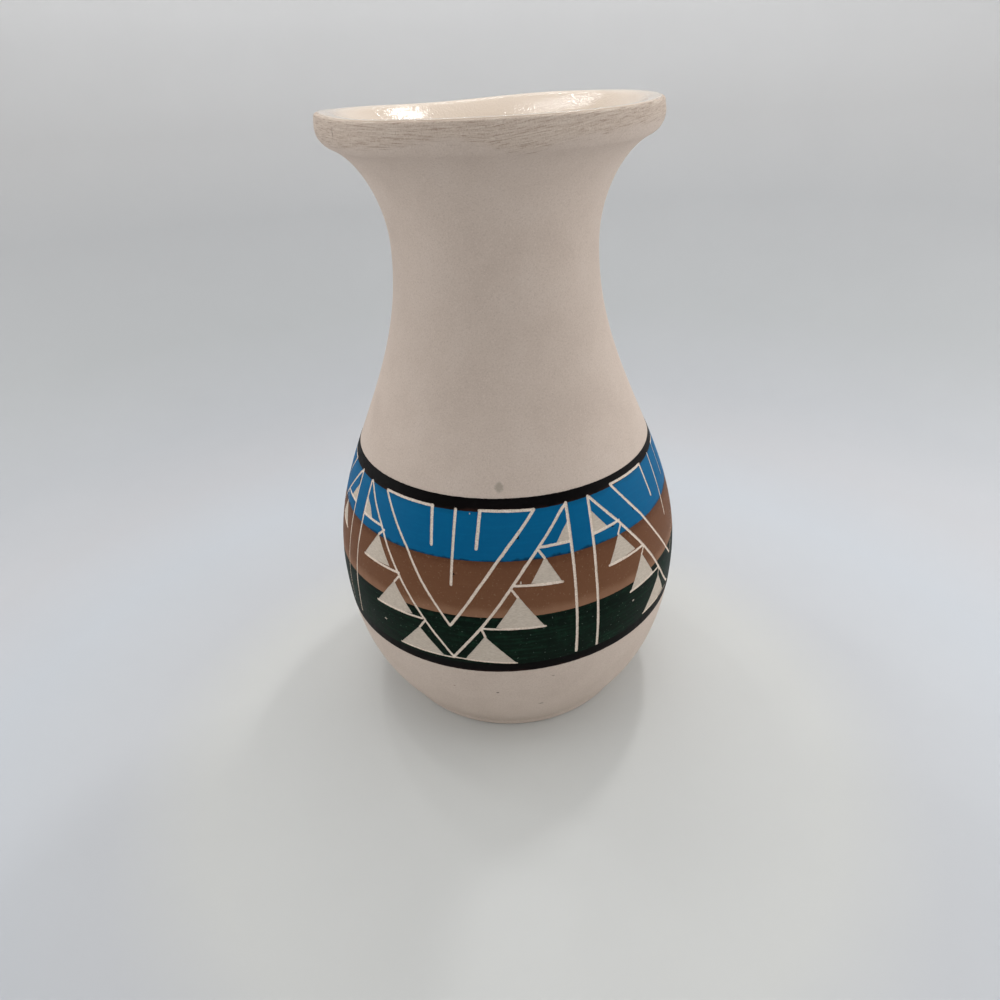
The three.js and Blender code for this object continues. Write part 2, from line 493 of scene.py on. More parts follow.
# Half of a motif, as offsets in degrees from its middle line, and the strokes that the hand repeated.
HALF_RIGHT: tuple[Stroke | Patch, ...] = (
    Stroke(((8.7, 98.4), (27.2, 98.0)), 0.9),
    Stroke(((9.1, 98.2), (8.0, 87.2)), 1.05),
    Stroke(((-0.3, 60.7), (3.25, 66.3), (8.4, 74.7), (14, 83), (18, 88), (27, 98))),
    Stroke(
        (
            (0.1, 47.8), (4.7, 54.7), (9.25, 61.3), (13.4, 67.6), (18.8, 75.9),
            (23, 81.75), (27.2, 86.75), (31.3, 91.3), (35.9, 96.3), (38.25, 98.2),
        )
    ),
    Stroke(((38.25, 98.4), (38, 83), (37.8, 68), (37.6, 47.2)), 1.0),
    Stroke(((0.1, 47.5), (19.2, 46.4)), 0.75),
    Stroke(((9.25, 60.5), (10.2, 57.6)), 0.8),
    Stroke(((9.25, 60.9), (28, 60.8)), 0.85),
    Stroke(((18.2, 75.0), (20.2, 72.0)), 0.8),
    Stroke(((18.7, 75.9), (34, 75.2)), 0.9),
    Stroke(((27.3, 86.2), (29, 83.6)), 0.85),
    Stroke(((27.3, 87.0), (38, 87.1)), 0.95),
    Patch(((10.1, 57.9), (3.4, 47.2), (19.25, 46.3))),
    Patch(((20.3, 72.5), (13.4, 61.4), (28, 60.6))),
    Patch(((29.1, 84.1), (24.25, 76.2), (34, 75.0))),
    Patch(((38.3, 94.25), (35.4, 90.4), (32.4, 87.0), (38.3, 87.0))),
)
HALF_LEFT: tuple[Stroke | Patch, ...] = (
    Stroke(((-28.25, 98.2), (-7.4, 98.2)), 0.9),
    Stroke(((-7.8, 98.4), (-6.8, 86.75)), 1.05),
    Stroke(((-28.25, 98), (-15.7, 83.8), (-9.7, 74.7), (-3.8, 66.3), (-0.3, 60.7))),
    Stroke(
        (
            (-37.8, 98), (-33.25, 92.6), (-28, 87.2), (-24.1, 81.75), (-18.7, 74.7),
            (-13.7, 68), (-8.7, 60.9), (-3.7, 53.4), (-0.2, 47.8),
        )
    ),
    Stroke(((-38.4, 97.8), (-39.1, 85.5), (-39.9, 74.7), (-40.2, 64.7), (-40.3, 54.7), (-41.2, 46.3)), 0.95),
    Stroke(((-19.1, 46.7), (0.1, 47.2)), 0.75),
    Stroke(((-8.7, 60.1), (-10.7, 57.0)), 0.8),
    Stroke(((-27.8, 60.3), (-9.5, 60.9)), 0.85),
    Stroke(((-17.7, 73.8), (-19.9, 70.8)), 0.8),
    Stroke(((-35.2, 74.3), (-18, 74.5)), 0.9),
    Stroke(((-26.2, 86.0), (-28.7, 83.7)), 0.85),
    Stroke(((-39.0, 86.8), (-27.5, 86.8)), 0.95),
    Patch(((-10.75, 57.3), (-19.1, 46.6), (-3.25, 47.5))),
    Patch(((-19.9, 71.1), (-27.8, 60.1), (-12.8, 61.4))),
    Patch(((-28.8, 84.0), (-35.2, 74.3), (-22, 75.2))),
    Patch(((-38.6, 94.5), (-39.2, 86.8), (-32, 87.2), (-35.6, 90.2))),
)
MIDDLE_LINE = Stroke(((0.75, 98.3), (0.25, 75.3)), 0.95)

# The motif right of the front, whose left half was scratched a little differently from the others.
RIGHT_MOTIF_LEFT: tuple[Stroke | Patch, ...] = (
    Stroke(((-28.5, 99.0), (-9.2, 98.8)), 0.9),
    Stroke(((-9.6, 98.8), (-8.3, 87.6)), 1.0),
    Stroke(((-28.3, 98.8), (-17.5, 85.5), (-10.8, 75.1), (-4.2, 65.5), (-0.8, 61.2))),
    Stroke(
        (
            (-38.3, 98), (-33.3, 92.6), (-28.75, 87.6), (-22.9, 80.1), (-19.6, 75.5),
            (-15.8, 69.7), (-11.7, 62.6), (-7.5, 55.9), (-3.75, 51.3), (-0.6, 48.4),
        )
    ),
    Stroke(((-38.75, 98.4), (-39.6, 87.2), (-40.4, 74.7), (-40.7, 61.3), (-40.8, 46.75)), 1.0),
    Stroke(((-20.8, 48.5), (-0.3, 48.4)), 0.75),
    Stroke(((-11.7, 61.7), (-12.1, 59.4)), 0.8),
    Stroke(((-27.9, 62.2), (-11.5, 62.7)), 0.85),
    Stroke(((-19.6, 75.0), (-21.0, 73.0)), 0.8),
    Stroke(((-35.4, 75.4), (-19.3, 75.5)), 0.9),
    Stroke(((-28.2, 86.3), (-30, 83.8)), 0.85),
    Stroke(((-39.2, 87.1), (-28.3, 87.8)), 0.95),
    Patch(((-12.1, 59.7), (-20.8, 48.4), (-6.25, 49.0))),
    Patch(((-21.25, 73.4), (-27.9, 62.1), (-15.4, 62.4))),
    Patch(((-29.8, 84.25), (-35.4, 75.4), (-23.75, 76.2))),
    Patch(((-38.75, 94.25), (-39.3, 87.1), (-33.5, 87.7))),
)
RIGHT_MOTIF_LINE = Stroke(((-0.2, 98.6), (-1.2, 76.75)), 0.95)

# Chips and faint scrapes that the slip has taken at the front.
ACCIDENTS: tuple[Stroke | Patch, ...] = (
    Patch(((-43.3, 53.6), (-42.9, 54.3), (-42.1, 53.9), (-42.5, 53.3))),
    Patch(((40.6, 57.6), (40.5, 58.3), (41.3, 58.5), (41.4, 57.8))),
    Patch(((-12.6, 97.2), (-12.5, 97.6), (-12.1, 97.5), (-12.2, 97.1))),
    Patch(((3.0, 76.3), (3.1, 77.2), (3.5, 77.2), (3.5, 76.3))),
)


@dataclass(frozen=True)
class Motif:
    """A scratched motif round its middle line: two halves and the line between them."""

    angle: float
    left: tuple[Stroke | Patch, ...]
    right: tuple[Stroke | Patch, ...]
    middle: Stroke
    mirror: bool = False

    def marks(self) -> list[Stroke | Patch]:
        """Every stroke and patch of the motif, in its place."""
        parts = [*self.left, *self.right, self.middle]
        return [part.moved(self.angle, self.mirror) for part in parts]


MOTIFS = (
    Motif(-18.0, HALF_LEFT, HALF_RIGHT, MIDDLE_LINE),
    Motif(67.5, RIGHT_MOTIF_LEFT, HALF_RIGHT, RIGHT_MOTIF_LINE),
    Motif(162.2, HALF_RIGHT, HALF_LEFT, MIDDLE_LINE, mirror=True),
    Motif(257.0, HALF_LEFT, HALF_RIGHT, MIDDLE_LINE),
)


def every_mark() -> list[Stroke | Patch]:
    """Every mark scratched round the vase."""
    return [mark for motif in MOTIFS for mark in motif.marks()] + list(ACCIDENTS)


def join(mesh: bmesh.types.BMesh, part: bmesh.types.BMesh) -> None:
    """Puts a part into a mesh and frees the part."""
    data = bpy.data.meshes.new("joined_part")
    part.to_mesh(data)
    part.free()
    mesh.from_mesh(data)
    bpy.data.meshes.remove(data)


class Bared(Enum):
    """What a mark lays bare in the clay: the place of its finish in the clay's list of materials."""

    GROOVE = 1
    SCRAPED = 2


class Sheet:
    """A flat sheet round the vase that is cut, thickened and laid on it."""

    # How far beyond the outlines' ends a part is taken: more than a cell of the sheet's grid.
    margin = 2.5

    def __init__(self, columns: int, rows: int) -> None:
        """Makes the sheet as a grid whose x runs round the vase and whose y runs from 0 to 1."""
        self.mesh = bmesh.new()
        bmesh.ops.create_grid(self.mesh, x_segments=columns, y_segments=rows, size=0.5)
        for vert in self.mesh.verts:
            x = SEAM_X - SHEET_LENGTH + (vert.co.x + 0.5) * SHEET_LENGTH
            vert.co = Vector((x, vert.co.y + 0.5, 0))

    def shape(self, height: Callable[[float, float], float]) -> None:
        """Gives each point its height from its x and its share of the way up."""
        for vert in self.mesh.verts:
            vert.co.y = height(vert.co.x, vert.co.y)

    def at_seam(self, vert: bmesh.types.BMVert) -> bool:
        """Whether a point is on the sheet's seam."""
        return min(SEAM_X - vert.co.x, vert.co.x - (SEAM_X - SHEET_LENGTH)) < SAME_PLACE

    def taken(self, low: float, high: float) -> bmesh.types.BMesh:
        """Takes the faces between two places along x out of the sheet, as a mesh that is quick to cut."""
        part = self.mesh.copy()
        for mesh, kept in ((part, True), (self.mesh, False)):
            others = [f for f in mesh.faces if (low < f.calc_center_median().x < high) != kept]
            bmesh.ops.delete(mesh, geom=others, context="FACES")
        return part

    @staticmethod
    def cut_out(
        part: bmesh.types.BMesh,
        corners: list[Vector],
        faces: dict[bmesh.types.BMFace, None],
        bared: Bared | None,
    ) -> None:
        """Cuts a convex outline through some faces and removes or marks what is inside it.

        Args:
            part: the mesh that has the faces.
            corners: the outline's corners, counter-clockwise.
            faces: the faces near the outline; they are kept up to date.
            bared: the mark that the faces inside get, or nothing where they are removed.
        """
        low = Vector((min(c.x for c in corners), min(c.y for c in corners)))
        high = Vector((max(c.x for c in corners), max(c.y for c in corners)))
        inside = []
        for face in faces:
            xs = [v.co.x for v in face.verts]
            if max(xs) < low.x or min(xs) > high.x:
                continue
            ys = [v.co.y for v in face.verts]
            if max(ys) >= low.y and min(ys) <= high.y:
                inside.append(face)
        for here, after in zip(corners, corners[1:] + corners[:1]):
            if not inside:
                return
            way = (after - here).normalized()
            outward = Vector((way.y, -way.x, 0))
            start = Vector((here.x, here.y, 0))
            edges = (e for f in inside for e in f.edges)
            verts = (v for f in inside for v in f.verts)
            near = list(ordered(inside, edges, verts))
            made = bmesh.ops.bisect_plane(part, geom=near, dist=SAME_CUT, plane_co=start, plane_no=outward)
            for face in inside:
                faces.pop(face, None)
            now = ordered(g for g in made["geom"] if isinstance(g, bmesh.types.BMFace) and g.is_valid)
            faces.update(now)
            inside = [f for f in now if (f.calc_center_median() - start).dot(outward) < 0]
        if bared:
            for face in inside:
                face.material_index = bared.value
            return
        for face in inside:
            faces.pop(face, None)
        bmesh.ops.delete(part, geom=inside, context="FACES")

    def scratch(self, outlines: list[list[Vector]], bared: Bared | None = None, columns: int = 24) -> None:
        """Cuts all the outlines out of the sheet, or marks them in it, column by column.

        Args:
            outlines: convex outlines in the sheet.
            bared: the mark that the faces inside get, or nothing where they are removed.
            columns: how many stretches the sheet is searched in.
        """
        width = SHEET_LENGTH / columns
        start = SEAM_X - SHEET_LENGTH
        groups: dict[int, list[list[Vector]]] = {}
        for corners in outlines:
            groups.setdefault(int((corners[0].x - start) / width), []).append(corners)
        for _, members in sorted(groups.items()):
            low = min(c.x for corners in members for c in corners) - self.margin
            high = max(c.x for corners in members for c in corners) + self.margin
            part = self.taken(low, high)
            bmesh.ops.remove_doubles(part, verts=part.verts[:], dist=SAME_CORNER)
            faces = ordered(part.faces)
            for corners in members:
                self.cut_out(part, corners, faces, bared)
            join(self.mesh, part)
        bmesh.ops.remove_doubles(self.mesh, verts=self.mesh.verts[:], dist=SAME_CORNER)

    def borders(self, outer: bool) -> list[bmesh.types.BMEdge]:
        """The edges between a mark and what is beside it and, if outer, the sheet's own but for its seam."""
        found = []
        for edge in self.mesh.edges:
            if edge.is_boundary:
                if outer and not all(self.at_seam(v) for v in edge.verts):
                    found.append(edge)
            elif len({f.material_index for f in edge.link_faces}) > 1:
                found.append(edge)
        return found

    def roughen_edges(
        self, outer: bool = True, longest: float = 0.7, reach: float = 0.085, grain: float = 0.75
    ) -> None:
        """Makes every border and scratched edge a little uneven.

        Args:
            outer: whether the sheet's own borders are roughened too.
            longest: the longest straight stretch that is left.
            reach: how far a point moves.
            grain: the size of the bumps.
        """
        edges = self.borders(outer)
        for cuts in (1, 2, 3, 4):
            chosen = [e for e in edges if e.is_valid and min(4, int(e.calc_length() / longest)) == cuts]
            if chosen:
                bmesh.ops.subdivide_edges(self.mesh, edges=chosen, cuts=cuts)
        for vert in ordered(v for e in self.borders(outer) for v in e.verts):
            if not self.at_seam(vert):
                push = noise.noise_vector(on_cylinder(vert.co.x, vert.co.y) / grain) * reach
                vert.co += Vector((push.x, push.z, 0))

    def sink(self, bared: Bared, depth: float) -> None:
        """Sinks every face of a mark, with upright steps beside it that take the same mark."""
        chosen = [f for f in self.mesh.faces if f.material_index == bared.value]
        edges = (e for f in chosen for e in f.edges)
        verts = (v for f in chosen for v in f.verts)
        made = bmesh.ops.extrude_face_region(self.mesh, geom=list(ordered(chosen, edges, verts)))
        verts = [g for g in made["geom"] if isinstance(g, bmesh.types.BMVert)]
        bmesh.ops.translate(self.mesh, vec=(0, 0, -depth), verts=verts)
        for face in self.mesh.faces:
            if any(v.co.z < 0 for v in face.verts):
                face.material_index = bared.value

    def thicken(self, thickness: float) -> None:
        """Gives the sheet its thickness, upwards from z = 0; its faces keep the side that its grid had."""
        self.mesh.normal_update()
        bmesh.ops.solidify(self.mesh, geom=self.mesh.faces[:], thickness=thickness)
        lowest = min(v.co.z for v in self.mesh.verts)
        for vert in self.mesh.verts:
            vert.co.z = 0.0 if vert.co.z - lowest < thickness / 2 else thickness
        walls = [f for f in self.mesh.faces if all(self.at_seam(v) for v in f.verts)]
        bmesh.ops.delete(self.mesh, geom=walls, context="FACES_ONLY")

    def map_surface(self, share: Callable[[float, float], float]) -> None:
        """Writes a UV map: u once round the vase, and v from the function of x and y."""
        layer = self.mesh.loops.layers.uv.new("surface")
        for face in self.mesh.faces:
            for loop in face.loops:
                x, y = loop.vert.co.x, loop.vert.co.y
                loop[layer].uv = ((x - SEAM_X) / SHEET_LENGTH + 1, share(x, y))

    def lay(self, surface: Callable[[float, float, float], Vector]) -> bmesh.types.BMesh:
        """Lays the sheet on the vase and closes its seam.

        Args:
            surface: gives the place of a sheet point.

        Returns:
            The closed mesh.
        """
        for vert in self.mesh.verts:
            vert.co = surface(vert.co.x, vert.co.y, vert.co.z)
        bmesh.ops.remove_doubles(self.mesh, verts=self.mesh.verts[:], dist=SAME_PLACE)
        # The faces agree already. Looking for the outside of each thin island by itself could turn some over.
        if self.mesh.calc_volume(signed=True) < 0:
            bmesh.ops.reverse_faces(self.mesh, faces=self.mesh.faces[:])
        return self.mesh


def turned(radius: float, height: float, x: float) -> Vector:
    """A profile point turned to the angle of a sheet x."""
    turn = x / SHEET_RADIUS
    return Vector((math.sin(turn) * radius, -math.cos(turn) * radius, height))


def finish_piece(
    mesh: bmesh.types.BMesh, name: str, materials: list[bpy.types.Material], node: str, slot: str
) -> bpy.types.Object:
    """Makes a piece from a finished mesh and puts it in the frame.

    Args:
        mesh: the piece's mesh, in millimetres; it is freed.
        name: the piece's name.
        materials: its finishes, the main one first.
        node: the CAD node that it stands for.
        slot: the record's material slot; not used.

    Returns:
        The piece.
    """
    for face in mesh.faces:
        face.smooth = True
    for edge in mesh.edges:
        if len(edge.link_faces) == 2 and edge.calc_face_angle() > SHARP_ANGLE:
            edge.smooth = False
    bmesh.ops.scale(mesh, vec=(MM, MM, MM), verts=mesh.verts[:])
    data = bpy.data.meshes.new(name)
    mesh.to_mesh(data)
    mesh.free()
    for material in materials:
        data.materials.append(material)
    piece = bpy.data.objects.new(name, data)
    bpy.context.scene.collection.objects.link(piece)
    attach(piece, BODY)
    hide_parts(node)
    LOG.info("%s: %d faces, stands for %s", name, len(data.polygons), node)
    return piece


SHADER = "Principled BSDF"


def start_material(name: str, even: dict[str, float]) -> tuple[bpy.types.Material, bpy.types.NodeSocket]:
    """Starts a material.

    Args:
        name: what the surface is made of and how.
        even: the shader's values that are the same all over.

    Returns:
        The material, and the socket that gives a place on the object.
    """
    made = bpy.data.materials.new(name)
    made.use_nodes = True
    for socket, value in even.items():
        made.node_tree.nodes[SHADER].inputs[socket].default_value = value
    return made, add_node(made.node_tree, "TexCoord").outputs["Object"]


def link_shader(made: bpy.types.Material, patterns: dict[str, bpy.types.NodeSocket]) -> bpy.types.Material:
    """Links the patterns to the material's shader, and gives the material back."""
    tree = made.node_tree
    for name, socket in patterns.items():
        tree.links.new(socket, tree.nodes[SHADER].inputs[name])
    return made


@dataclass(frozen=True)
class Tint:
    """A colour that comes in over another while a pattern's value goes from one level to the next."""

    start: float
    full: float
    share: float
    colour: str

    def over(
        self, tree: bpy.types.NodeTree, pattern: bpy.types.NodeSocket, under: bpy.types.NodeSocket | tuple
    ) -> bpy.types.NodeSocket:
        """Lays the tint over a colour.

        Args:
            tree: the material's node tree.
            pattern: the value that says where the tint comes in.
            under: the colour below it, or the socket that gives that.

        Returns:
            The socket that gives both together.
        """
        levels = {"Value": pattern, "From Min": self.start, "From Max": self.full, "To Max": self.share}
        amount = add_node(tree, "MapRange", levels)
        both = {0: amount.outputs[0], 6: under, 7: linear(self.colour)}
        return add_node(tree, "Mix", both, data_type="RGBA").outputs[2]


@dataclass(frozen=True)
class Spot:
    """A small stain or chip on the clay."""

    angle: float
    height: float
    half_width: float
    half_height: float
    colour: str
    strength: float


@dataclass(frozen=True)
class FiredClayFinish:
    """Bisque-fired white earthenware: matte, off-white, sponged, finely speckled, sanded at the lip."""

    base: str = "#c8b8ab"
    deep: str = "#b1a094"
    pale: str = "#d5c7bc"
    sanded: str = "#c6b5a6"
    streak: str = "#8f7869"
    fleck: str = "#d8cdbf"
    mottle_mm: float = 16.0
    mottle_share: float = 0.26
    # Grog and fine sand in the clay, as darker and paler grains.
    grain_mm: float = 0.45
    grains: tuple[Tint, ...] = (Tint(0.47, 0.3, 0.55, deep), Tint(0.55, 0.72, 0.6, pale))
    # The sanded zone's lower edge: its mean height, the heights round it where the zone starts and is full,
    # and how far it strays with the marks.
    sanded_from: float = 197.5
    sanded_between: Pair = (-1.1, 0.9)
    sanded_stray: float = 1.3
    sanded_share: float = 0.88
    # Where, how widely and how far the edge dips (below zero, rises) along x, and its climb at the right.
    dips: tuple[tuple[float, float, float], ...] = ((8.2, 11.0, 1.9), (-12.0, 14.0, -2.0), (-38.0, 14.0, 0.8))
    climb: tuple[float, float, float] = (12.0, 38.0, 1.5)
    # Size of a sanding mark, how steeply the marks climb at the right, and their dark streaks and pale dust.
    mark_mm: Pair = (5.0, 0.3)
    mark_climb: float = 0.12
    marks: tuple[Tint, ...] = (Tint(0.5, 0.66, 0.75, streak), Tint(0.46, 0.34, 0.7, fleck))
    # The grit that the sanding bared, as pits and specks.
    grit_mm: float = 0.42
    grit: tuple[Tint, ...] = (Tint(0.54, 0.7, 0.5, streak), Tint(0.44, 0.32, 0.5, fleck))
    spots: tuple[Spot, ...] = (
        Spot(-2.3, 104.8, 1.3, 1.7, "#9b9184", 0.75),
        Spot(-5.4, 30.8, 0.55, 0.4, "#5f554c", 0.85),
        Spot(9.2, 21.5, 0.9, 0.35, "#5f554c", 0.75),
        Spot(-19.8, 31.9, 0.45, 0.3, "#8a6a5a", 0.6),
        Spot(12.4, 37.8, 0.6, 0.3, "#7d7268", 0.6),
        Spot(-54.0, 200.2, 0.25, 1.5, "#6b6057", 0.7),
    )
    # A spot's ragged edge: the size of its grain, and the levels between which the spot comes in.
    spot_grain_mm: float = 0.8
    spot_edge: Pair = (1.7, 1.15)
    # Spots above the wall's waist are on the lip.
    neck_height: float = 160.0
    lip_radius: float = 49.8
    fine_mm: float = 0.3
    sponge_mm: float = 3.5

    def grained(self, tree: bpy.types.NodeTree, place: bpy.types.NodeSocket) -> bpy.types.NodeSocket:
        """The mottled and speckled colour of the plain clay."""
        mottle = add_node(
            tree,
            "TexNoise",
            {"Vector": place, "Scale": per_metre(self.mottle_mm), "Detail": 4.0, "Roughness": 0.6},
        )
        stops = [(0.3, self.deep), (0.5, self.base), (0.72, self.pale)]
        cloud = add_node(tree, "ValToRGB", {0: mottle.outputs[0]}, stops)
        both = {0: self.mottle_share, 6: linear(self.base), 7: cloud.outputs[0]}
        colour = add_node(tree, "Mix", both, data_type="RGBA").outputs[2]
        grain = add_node(
            tree,
            "TexNoise",
            {"Vector": place, "Scale": per_metre(self.grain_mm), "Detail": 2.0, "Roughness": 0.7},
        )
        for tint in self.grains:
            colour = tint.over(tree, grain.outputs[0], colour)
        return colour

    def sanding(self, tree: bpy.types.NodeTree, axes: bpy.types.NodeOutputs) -> bpy.types.NodeSocket:
        """The pattern of fine marks that run round the lip and climb at the right."""
        right = add_node(tree, "Math", {0: axes[0], 1: 0.0}, operation="MAXIMUM")
        sheared = add_node(
            tree, "Math", {0: right.outputs[0], 1: -self.mark_climb, 2: axes[2]}, operation="MULTIPLY_ADD"
        )
        followed = add_node(tree, "CombineXYZ", {0: axes[0], 1: axes[1], 2: sheared.outputs[0]})
        long, thin = self.mark_mm
        scale = (thin / long, thin / long, 1.0)
        stretched = add_node(tree, "Mapping", {"Vector": followed.outputs[0], "Scale": scale})
        pattern = {"Vector": stretched.outputs[0], "Scale": per_metre(thin), "Detail": 4.0, "Roughness": 0.7}
        return add_node(tree, "TexNoise", pattern).outputs[0]

    def sanded_zone(
        self, tree: bpy.types.NodeTree, axes: bpy.types.NodeOutputs, sanding: bpy.types.NodeSocket
    ) -> bpy.types.NodeSocket:
        """How far the lip is sanded at a place: from 0 below the zone's wandering lower edge to 1 above it.

        Args:
            tree: the material's node tree.
            axes: the place's x, y and z.
            sanding: the pattern of the sanding marks.

        Returns:
            The socket that gives the share.
        """
        stray = self.sanded_stray * MM
        level = add_node(
            tree,
            "MapRange",
            {"Value": sanding, "From Min": 0.3, "From Max": 0.7, "To Min": -stray, "To Max": stray},
        ).outputs[0]
        bends = []
        for middle, reach, depth in self.dips:
            aside = add_node(tree, "Math", {0: axes[0], 1: middle * MM}, operation="SUBTRACT")
            away = add_node(tree, "Math", {0: aside.outputs[0]}, operation="ABSOLUTE")
            bends.append((away.outputs[0], 0.0, reach, depth, 0.0))
        start, end, height = self.climb
        bends.append((axes[0], start, end, 0.0, -height))
        for value, start, end, first, last in bends:
            bend = add_node(
                tree,
                "MapRange",
                {
                    "Value": value,
                    "From Min": start * MM,
                    "From Max": end * MM,
                    "To Min": first * MM,
                    "To Max": last * MM,
                },
                interpolation_type="SMOOTHSTEP",
            )
            level = add_node(tree, "Math", {0: level, 1: bend.outputs[0]}, operation="ADD").outputs[0]
        level = add_node(tree, "Math", {0: axes[2], 1: level}, operation="ADD").outputs[0]
        low, high = ((self.sanded_from + edge) * MM for edge in self.sanded_between)
        return add_node(
            tree,
            "MapRange",
            {"Value": level, "From Min": low, "From Max": high},
            interpolation_type="SMOOTHSTEP",
        ).outputs[0]

    def sanded_colour(
        self, tree: bpy.types.NodeTree, place: bpy.types.NodeSocket, sanding: bpy.types.NodeSocket
    ) -> bpy.types.NodeSocket:
        """The greyer colour of the sanded lip, with its marks and its grit."""
        grit = add_node(
            tree,
            "TexNoise",
            {"Vector": place, "Scale": per_metre(self.grit_mm), "Detail": 2.0, "Roughness": 0.75},
        ).outputs[0]
        colour = linear(self.sanded)
        for pattern, tints in ((sanding, self.marks), (grit, self.grit)):
            for tint in tints:
                colour = tint.over(tree, pattern, colour)
        return colour

    def spotted(
        self,
        tree: bpy.types.NodeTree,
        place: bpy.types.NodeSocket,
        colour: bpy.types.NodeSocket,
        wall: OuterWall,
    ) -> bpy.types.NodeSocket:
        """Adds the stains and chips.

        Args:
            tree: the material's node tree.
            place: gives a place on the object.
            colour: the colour without them.
            wall: the outer wall, which gives a spot its distance from the axis.

        Returns:
            The socket that gives the colour with them.
        """
        uneven = add_node(
            tree, "TexNoise", {"Vector": place, "Scale": per_metre(self.spot_grain_mm), "Detail": 2.0}
        )
        for spot in self.spots:
            radius = wall.at(spot.height)[0] if spot.height < self.neck_height else self.lip_radius
            centre = turned(radius, spot.height, sheet_x(spot.angle)) * MM
            size = Vector((spot.half_width, spot.half_width, spot.half_height)) * MM
            moved = add_node(tree, "VectorMath", {0: place, 1: centre}, operation="SUBTRACT")
            scaled = add_node(tree, "VectorMath", {0: moved.outputs[0], 1: size}, operation="DIVIDE")
            reach = add_node(tree, "VectorMath", {0: scaled.outputs[0]}, operation="LENGTH")
            edge = add_node(tree, "Math", {0: uneven.outputs[0], 1: reach.outputs["Value"]}, operation="ADD")
            colour = Tint(*self.spot_edge, spot.strength, spot.colour).over(tree, edge.outputs[0], colour)
        return colour

    def material(self, wall: OuterWall) -> bpy.types.Material:
        """Builds the material.

        Args:
            wall: the outer wall, on which the spots lie.

        Returns:
            The material.
        """
        even = {"Roughness": 0.86, "IOR": 1.5, "Specular IOR Level": 0.3}
        made, place = start_material("bisque_fired_white_earthenware", even)
        tree = made.node_tree
        axes = add_node(tree, "SeparateXYZ", {0: place}).outputs
        sanding = self.sanding(tree, axes)
        lip = self.sanded_zone(tree, axes, sanding)
        share = add_node(tree, "Math", {0: lip, 1: self.sanded_share}, operation="MULTIPLY")
        plain = self.grained(tree, place)
        both = {0: share.outputs[0], 6: plain, 7: self.sanded_colour(tree, place, sanding)}
        colour = add_node(tree, "Mix", both, data_type="RGBA").outputs[2]

        fine = add_node(
            tree,
            "TexNoise",
            {"Vector": place, "Scale": per_metre(self.fine_mm), "Detail": 3.0, "Roughness": 0.7},
        )
        sponge = add_node(
            tree,
            "TexNoise",
            {"Vector": place, "Scale": per_metre(self.sponge_mm), "Detail": 3.0},
        )
        scored = add_node(tree, "Math", {0: sanding, 1: lip}, operation="MULTIPLY")
        # The fine grain, the sanding marks and the sponge's trail, each over the one before.
        below: dict[str, bpy.types.NodeSocket] = {}
        for pattern, strength, depth in ((fine, 0.35, 0.06), (scored, 0.5, 0.12), (sponge, 0.4, 0.1)):
            relief = {"Strength": strength, "Distance": depth * MM, "Height": pattern.outputs[0], **below}
            below = {"Normal": add_node(tree, "Bump", relief).outputs[0]}
        return link_shader(made, {"Base Color": self.spotted(tree, place, colour, wall), **below})


@dataclass(frozen=True)
class BaredClayFinish:
    """Raw clay under the slip: chalky and bright where a needle tore it, duller where a blade scraped it."""

    name: str
    dark: str
    base: str
    pale: str
    # Length and thickness of the tool's marks.
    mark_mm: Pair

    def material(self) -> bpy.types.Material:
        """Builds the material."""
        made, place = start_material(self.name, {"Roughness": 0.95, "IOR": 1.5, "Specular IOR Level": 0.2})
        tree = made.node_tree
        long, thin = self.mark_mm
        stretched = add_node(tree, "Mapping", {"Vector": place, "Scale": (thin / long, thin / long, 1.0)})
        pattern = {"Vector": stretched.outputs[0], "Scale": per_metre(thin), "Detail": 3.0, "Roughness": 0.65}
        torn = add_node(tree, "TexNoise", pattern).outputs[0]
        stops = [(0.3, self.dark), (0.5, self.base), (0.66, self.pale)]
        colour = add_node(tree, "ValToRGB", {0: torn}, stops)
        bump = add_node(tree, "Bump", {"Strength": 0.5, "Distance": 0.06 * MM, "Height": torn})
        return link_shader(made, {"Base Color": colour.outputs[0], "Normal": bump.outputs[0]})


@dataclass(frozen=True)
class GlazeFinish:
    """Clear earthenware glaze over white clay: glassy, cream, and faintly rippled like orange peel."""

    base: str = "#ddccba"
    warm: str = "#d8c2a8"
    ripple_mm: float = 0.8
    cloud_mm: float = 7.0
    # The heights between which the glaze grows warmer and darker down inside, and how much: partly glaze
    # pooled thicker there, partly painted shade of the vase's inside.
    warm_between: Pair = (203.0, 170.0)
    warm_share: float = 0.8

    def material(self) -> bpy.types.Material:
        """Builds the material."""
        made, place = start_material("clear_glaze_over_white_clay", {"Roughness": 0.07, "IOR": 1.52})
        tree = made.node_tree
        axes = add_node(tree, "SeparateXYZ", {0: place})
        high, low = (height * MM for height in self.warm_between)
        depth = add_node(
            tree,
            "MapRange",
            {"Value": axes.outputs[2], "From Min": high, "From Max": low, "To Max": self.warm_share},
        )
        cloud = add_node(
            tree,
            "TexNoise",
            {"Vector": place, "Scale": per_metre(self.cloud_mm), "Detail": 3.0},
        )
        # Warmer and darker down inside: partly pooled glaze, partly painted shade, varied by faint clouds.
        shade = add_node(tree, "Math", {0: depth.outputs[0], 1: cloud.outputs[0]}, operation="MULTIPLY")
        both = {0: shade.outputs[0], 6: linear(self.base), 7: linear(self.warm)}
        colour = add_node(tree, "Mix", both, data_type="RGBA")
        ripple = add_node(
            tree,
            "TexNoise",
            {"Vector": place, "Scale": per_metre(self.ripple_mm), "Detail": 2.0, "Roughness": 0.6},
        )
        bump = add_node(tree, "Bump", {"Strength": 1.0, "Distance": 0.12 * MM, "Height": ripple.outputs[0]})
        return link_shader(made, {"Base Color": colour.outputs[2], "Normal": bump.outputs[0]})


class Brushing(Enum):
    """How a coat of slip was put on: the strength of its brush marks."""

    EVEN = 0.25
    BRUSHED = 0.6


